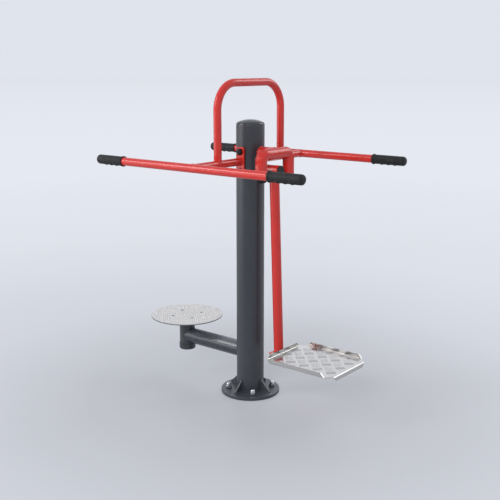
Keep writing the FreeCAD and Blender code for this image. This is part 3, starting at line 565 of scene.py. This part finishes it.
# one screw on each corner of a rectangle
def screwTree():
    inputs = {"Centre": (0.0, 0.0, 0.0), "Spread X": 0.1, "Spread Y": 0.1, "Turn": 0.0, "Material": None}
    tree, given = startTree("screwSet", inputs)
    corners = makeNode(tree, "GeometryNodeMeshGrid", {
        "Size X": given["Spread X"], "Size Y": given["Spread Y"], "Vertices X": 2, "Vertices Y": 2})
    spots = makeNode(tree, "GeometryNodeTransform", {
        "Geometry": corners.outputs["Mesh"], "Translation": given["Centre"],
        "Rotation": joinVector(tree, z=given["Turn"])}).outputs[0]
    endTree(tree, repeatOn(tree, spots, given["Geometry"]), given["Material"])
    return tree


screwSet = screwTree()
discSquare = discScrew["radius"] * math.sqrt(2)
discScrews = bakeTree(screwSet, "discSocketScrews", {
    "Centre": tuple(discCentre), "Spread X": discSquare, "Spread Y": discSquare,
    "Turn": discScrew["turn"] + math.pi / 4, "Material": screwSteel,
}, socketScrew("discSocketScrews", discScrew["length"]))
settle(discScrews, "twister", "zinc_steel", "disc_screws")
traySpread = [2 * spread for spread in treadPlace["Screw Spread"]]
trayScrews = bakeTree(screwSet, "traySocketScrews", {
    "Centre": treadPlace["Screw Centre"], "Spread X": traySpread[0], "Spread Y": traySpread[1],
    "Turn": 0.0, "Material": screwSteel,
}, socketScrew("traySocketScrews", screwHigh.z - screwLow.z))
settle(trayScrews, "surfer", "zinc_steel", "tray_screws")


# weld beads: a rippled bead swept along each joint line

weld = {"Ripple": 0.16, "Ripple Pitch": 0.0042, "Step": 0.0012, "Sides": 8}


def weldTree():
    tree, given = startTree("weldBeads", {**weld, "Bead Radius": 0.003, "Material": None})
    line = makeNode(tree, "GeometryNodeMeshToCurve", {"Mesh": given["Geometry"]}).outputs[0]
    even = {"Curve": line, "Length": given["Step"]}
    line = makeNode(tree, "GeometryNodeResampleCurve", even, mode="LENGTH").outputs[0]
    along = makeNode(tree, "GeometryNodeSplineParameter").outputs["Length"]
    ripples = maths(tree, "DIVIDE", along, given["Ripple Pitch"])
    wave = maths(tree, "SINE", maths(tree, "MULTIPLY", ripples, 2 * math.pi), 0.0)
    swell = maths(tree, "ADD", maths(tree, "MULTIPLY", wave, given["Ripple"]), 1.0)
    ring = makeNode(tree, "GeometryNodeCurvePrimitiveCircle", {
        "Resolution": given["Sides"], "Radius": given["Bead Radius"]}).outputs["Curve"]
    bead = makeNode(tree, "GeometryNodeCurveToMesh", {
        "Curve": line, "Profile Curve": ring, "Scale": swell, "Fill Caps": True}).outputs[0]
    endTree(tree, bead, given["Material"])
    return tree


# joint line of a tube that meets another at right angles; a main radius of 0 gives a ring on a flat
def saddle(crossing, outward, along, tubeRadius, mainRadius, count=120):
    side = outward.cross(along)
    ring = []
    for step in range(count):
        turn = 2 * math.pi * step / count
        offset = tubeRadius * math.sin(turn)
        depth = math.sqrt(max(mainRadius ** 2 - offset ** 2, 0))
        ring.append(crossing + along * tubeRadius * math.cos(turn) + side * offset + outward * depth)
    return ring


def pathMesh(label, rings, lines):
    verts, edges = [], []
    for points, closed in [(ring, True) for ring in rings] + [(line, False) for line in lines]:
        first = len(verts)
        verts += [tuple(point) for point in points]
        edges += [(first + step, first + step + 1) for step in range(len(points) - 1)]
        if closed:
            edges.append((len(verts) - 1, first))
    mesh = bpy.data.meshes.new(label + "Paths")
    mesh.from_pydata(verts, edges, [])
    return mesh


def midAndHalf(node):
    low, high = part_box(node)
    return (low + high) / 2, (high - low) / 2


alongX, alongY, alongZ = Vector((1, 0, 0)), Vector((0, 1, 0)), Vector((0, 0, 1))
postRadius = midAndHalf("post_tube")[1].x

# at the base and the arm
gussetSide = 0.004  # half a plate
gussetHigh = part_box("base_gussets")[1]
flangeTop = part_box("base_flange")[1].z
armMid, armHalf = midAndHalf("twister_arm")
housingMid, housingHalf = midAndHalf("twister_housing")
gussetLines = []
for quarter in range(4):
    turned = Matrix.Rotation(math.pi / 2 * quarter, 3, "Z")
    for side in (-gussetSide, gussetSide):
        corner = math.sqrt(postRadius ** 2 - side ** 2)
        gussetLines.append([turned @ Vector(spot) for spot in (
            (gussetHigh.x, side, flangeTop), (corner, side, flangeTop), (corner, side, gussetHigh.z))])
baseRings = [
    saddle(Vector((0, 0, flangeTop)), alongZ, alongX, postRadius, 0),
    saddle(Vector((0, 0, armMid.z)), -alongX, alongZ, armHalf.z, postRadius),
    saddle(Vector((housingMid.x, 0, armMid.z)), alongX, alongZ, armHalf.z, housingHalf.x),
]

# at the handlebars, the hoop, the limiter and the pivot
hoopHalf = midAndHalf("top_hoop")[1]
stubMid, stubHalf = midAndHalf("limiter_stub")
yokeMid = midAndHalf("limiter_yoke")[0]
bossMid, bossHalf = midAndHalf("pivot_boss")
barRings = []
for sign, sideName in ((1, "left"), (-1, "right")):
    crossMid, crossHalf = midAndHalf("cross_tube_" + sideName)
    barMid, barHalf = midAndHalf("handlebar_" + sideName)
    plateFace = crossMid.y - sign * crossHalf.y
    hoopLeg = sign * (hoopHalf.y - hoopHalf.x)
    barRings += [
        saddle(Vector((0, plateFace, crossMid.z)), alongY * sign, alongX, crossHalf.z, 0),
        saddle(barMid, alongY * -sign, alongX, crossHalf.z, barHalf.z),
        saddle(Vector((0, hoopLeg, crossMid.z)), alongZ, alongY, hoopHalf.x, crossHalf.z),
    ]
barRings += [
    saddle(Vector((0, 0, stubMid.z)), alongX, alongZ, stubHalf.z, postRadius),
    saddle(Vector((yokeMid.x, 0, stubMid.z)), -alongX, alongY, stubHalf.z, stubHalf.z),
    saddle(Vector((0, 0, bossMid.z)), alongX, alongZ, bossHalf.z, postRadius),
]

# at the two ends of the pole, which leans outwards
poleMid, poleHalf = midAndHalf("swing_pole")
sleeveMid, sleeveHalf = midAndHalf("pivot_sleeve")
poleRadius = poleHalf.y
poleTop = Vector((poleMid.x - poleHalf.x + poleRadius, 0, sleeveMid.z))
poleFoot = Vector((poleMid.x + poleHalf.x - poleRadius, 0, poleMid.z - poleHalf.z))
poleRings = [
    saddle(poleTop, -alongZ, alongX, poleRadius, sleeveHalf.z),
    saddle(poleFoot, alongZ, alongX, poleRadius, 0),
]

weldSets = {
    "baseWelds": {
        "body": "frame", "slot": "anthracite_coat", "bead": 0.0032, "paths": (baseRings, gussetLines)},
    "barWelds": {"body": "frame", "slot": "red_coat", "bead": 0.0026, "paths": (barRings, [])},
    "poleWelds": {"body": "surfer", "slot": "red_coat", "bead": 0.0022, "paths": (poleRings, [])},
}
weldBeads = weldTree()
for label, weldSet in weldSets.items():
    values = {**weld, "Bead Radius": weldSet["bead"], "Material": finishes[weldSet["slot"]]}
    beads = bakeTree(weldBeads, label, values, pathMesh(label, *weldSet["paths"]))
    settle(beads, weldSet["body"], weldSet["slot"])


# camera, fitted to the photograph
view = {
    "place": (2.57603, -3.20786, 1.66496), "pitch": 77.5, "yaw": 38.79, "lens": 60.32, "sensor": 36.0,
    "shift": -0.002,
}
cameraData = bpy.data.cameras.new("camera")
cameraData.lens = view["lens"]
cameraData.sensor_width = view["sensor"]
cameraData.shift_y = view["shift"]
camera = bpy.data.objects.new("camera", cameraData)
camera.location = view["place"]
camera.rotation_euler = (math.radians(view["pitch"]), 0, math.radians(view["yaw"]))
scene.collection.objects.link(camera)
scene.camera = camera


# soft studio light: a tall box on the left with a low card under it that is only mirrored, a fill in front,
# and a fill, a panel and a dim card behind; the two fills are not mirrored
lamps = {
    "keyBox": {"place": (-4.42, -4.47, 4.3), "aim": 0.9, "size": (2.15, 3.2), "power": 150},
    "mirrorCard": {"place": (-4.8, -4.95, 0.8), "aim": 0.6, "size": (5.4, 1.5), "power": 60, "light": False},
    "frontFill": {"place": (2.25, -6.85, 4.15), "aim": 0.8, "size": (3.4, 2.8), "power": 285, "glare": False},
    "backFill": {"place": (-0.6, 4.6, 3.2), "aim": 0.5, "size": (3.0, 2.0), "power": 60, "glare": False},
    "backPanel": {"place": (1.8, 3.85, 3.6), "aim": 0.7, "size": (1.8, 2.2), "power": 50},
    "backCard": {"place": (-3.7, 4.9, 2.2), "aim": 0.3, "size": (5.5, 2.6), "power": 12},
}
for name, lamp in lamps.items():
    data = bpy.data.lights.new(name, "AREA")
    data.shape = "RECTANGLE"
    data.size, data.size_y = lamp["size"]
    data.energy = lamp["power"]
    holder = bpy.data.objects.new(name, data)
    holder.location = lamp["place"]
    holder.visible_glossy = lamp.get("glare", True)
    holder.visible_diffuse = lamp.get("light", True)
    aim = alongZ * lamp["aim"] - Vector(lamp["place"])  # at this height on the post
    holder.rotation_euler = aim.to_track_quat("-Z", "Y").to_euler()
    scene.collection.objects.link(holder)


def ramp(tree, value, stops):
    node = makeNode(tree, "ShaderNodeValToRGB", {"Fac": value})
    marks = node.color_ramp.elements
    while len(marks) < len(stops):
        marks.new(1.0)
    for mark, (place, colour) in zip(marks, stops):
        mark.position = place
        mark.color = rgba(colour)
    return node.outputs["Color"]


# 1 for what the camera sees, directly, mirrored or through glass
def seenRays(tree):
    path = makeNode(tree, "ShaderNodeLightPath").outputs
    seen = maths(tree, "MAXIMUM", path["Is Camera Ray"], path["Is Glossy Ray"])
    return maths(tree, "MAXIMUM", seen, path["Is Transmission Ray"])


# surroundings: soft light that grows upward, and a pale backdrop for the camera and the mirroring metals
backdrop = {
    "pale": (0.745, 0.775, 0.847),
    "light": ((0.0, (0.20, 0.205, 0.21)), (1.0, (0.62, 0.63, 0.65))),
}
world = bpy.data.worlds.new("studio")
scene.world = world
world.use_nodes = True
sky = world.node_tree
sky.nodes.clear()
rise = splitVector(sky, makeNode(sky, "ShaderNodeTexCoord").outputs["Generated"])["Z"]
lit = makeNode(sky, "ShaderNodeBackground", {"Color": ramp(sky, rise, backdrop["light"])})
pale = makeNode(sky, "ShaderNodeBackground", {"Color": rgba(backdrop["pale"])})
mixed = makeNode(sky, "ShaderNodeMixShader", {0: seenRays(sky), 1: lit.outputs[0], 2: pale.outputs[0]})
makeNode(sky, "ShaderNodeOutputWorld", {"Surface": mixed.outputs[0]})


# pale floor, a little glossy, with a painted shadow that darkens it near the object, lighter far from it and
# shown in its own colour far off; tones are by distance in metres, and ownShare goes from near to far over
# ownReach
floorLook = {
    "halfSize": 90.0, "drop": 0.0005, "rough": 0.42, "specular": 0.25, "ownShare": (0.42, 1.0),
    "ownReach": (0.6, 4.0), "tint": (1.0, 1.0325, 1.1175), "toneReach": 70.0,
    # the low tones near the object are painted shadow
    "tones": (
        (0.0, 0.512), (0.9, 0.530), (1.6, 0.630), (3.0, 0.709), (4.2, 0.744), (9.0, 0.791), (70.0, 0.745)),
}
floorMaterial, floorTree, floorShader, floorCoords = startFinish("paleFloor")
distance = lengthOf(floorTree, floorCoords)
toneStops = []
for metres, level in floorLook["tones"]:
    toneStops.append((metres / floorLook["toneReach"], [level * part for part in floorLook["tint"]]))
tone = ramp(floorTree, maths(floorTree, "DIVIDE", distance, floorLook["toneReach"]), toneStops)
floorTree.links.new(tone, floorShader.inputs["Base Color"])
floorShader.inputs["Roughness"].default_value = floorLook["rough"]
floorShader.inputs["Specular IOR Level"].default_value = floorLook["specular"]
glow = makeNode(floorTree, "ShaderNodeEmission", {"Color": tone, "Strength": 1.0})
own = remap(floorTree, distance, *floorLook["ownShare"], *floorLook["ownReach"])
share = maths(floorTree, "MULTIPLY", seenRays(floorTree), own)
floorMix = makeNode(floorTree, "ShaderNodeMixShader", {
    0: share, 1: floorShader.outputs[0], 2: glow.outputs[0]})
floorOutput = next(node for node in floorTree.nodes if node.type == "OUTPUT_MATERIAL")
floorTree.links.new(floorMix.outputs[0], floorOutput.inputs["Surface"])
floorMesh = bpy.data.meshes.new("floor")
half = floorLook["halfSize"]
floorCorners = [(-half, -half, 0), (half, -half, 0), (half, half, 0), (-half, half, 0)]
floorMesh.from_pydata(floorCorners, [], [(0, 1, 2, 3)])
floorMesh.materials.append(floorMaterial)
floor = bpy.data.objects.new("floor", floorMesh)
floor.location.z = cadLow.z - floorLook["drop"]
scene.collection.objects.link(floor)
print("studio: floor, lamps and camera")
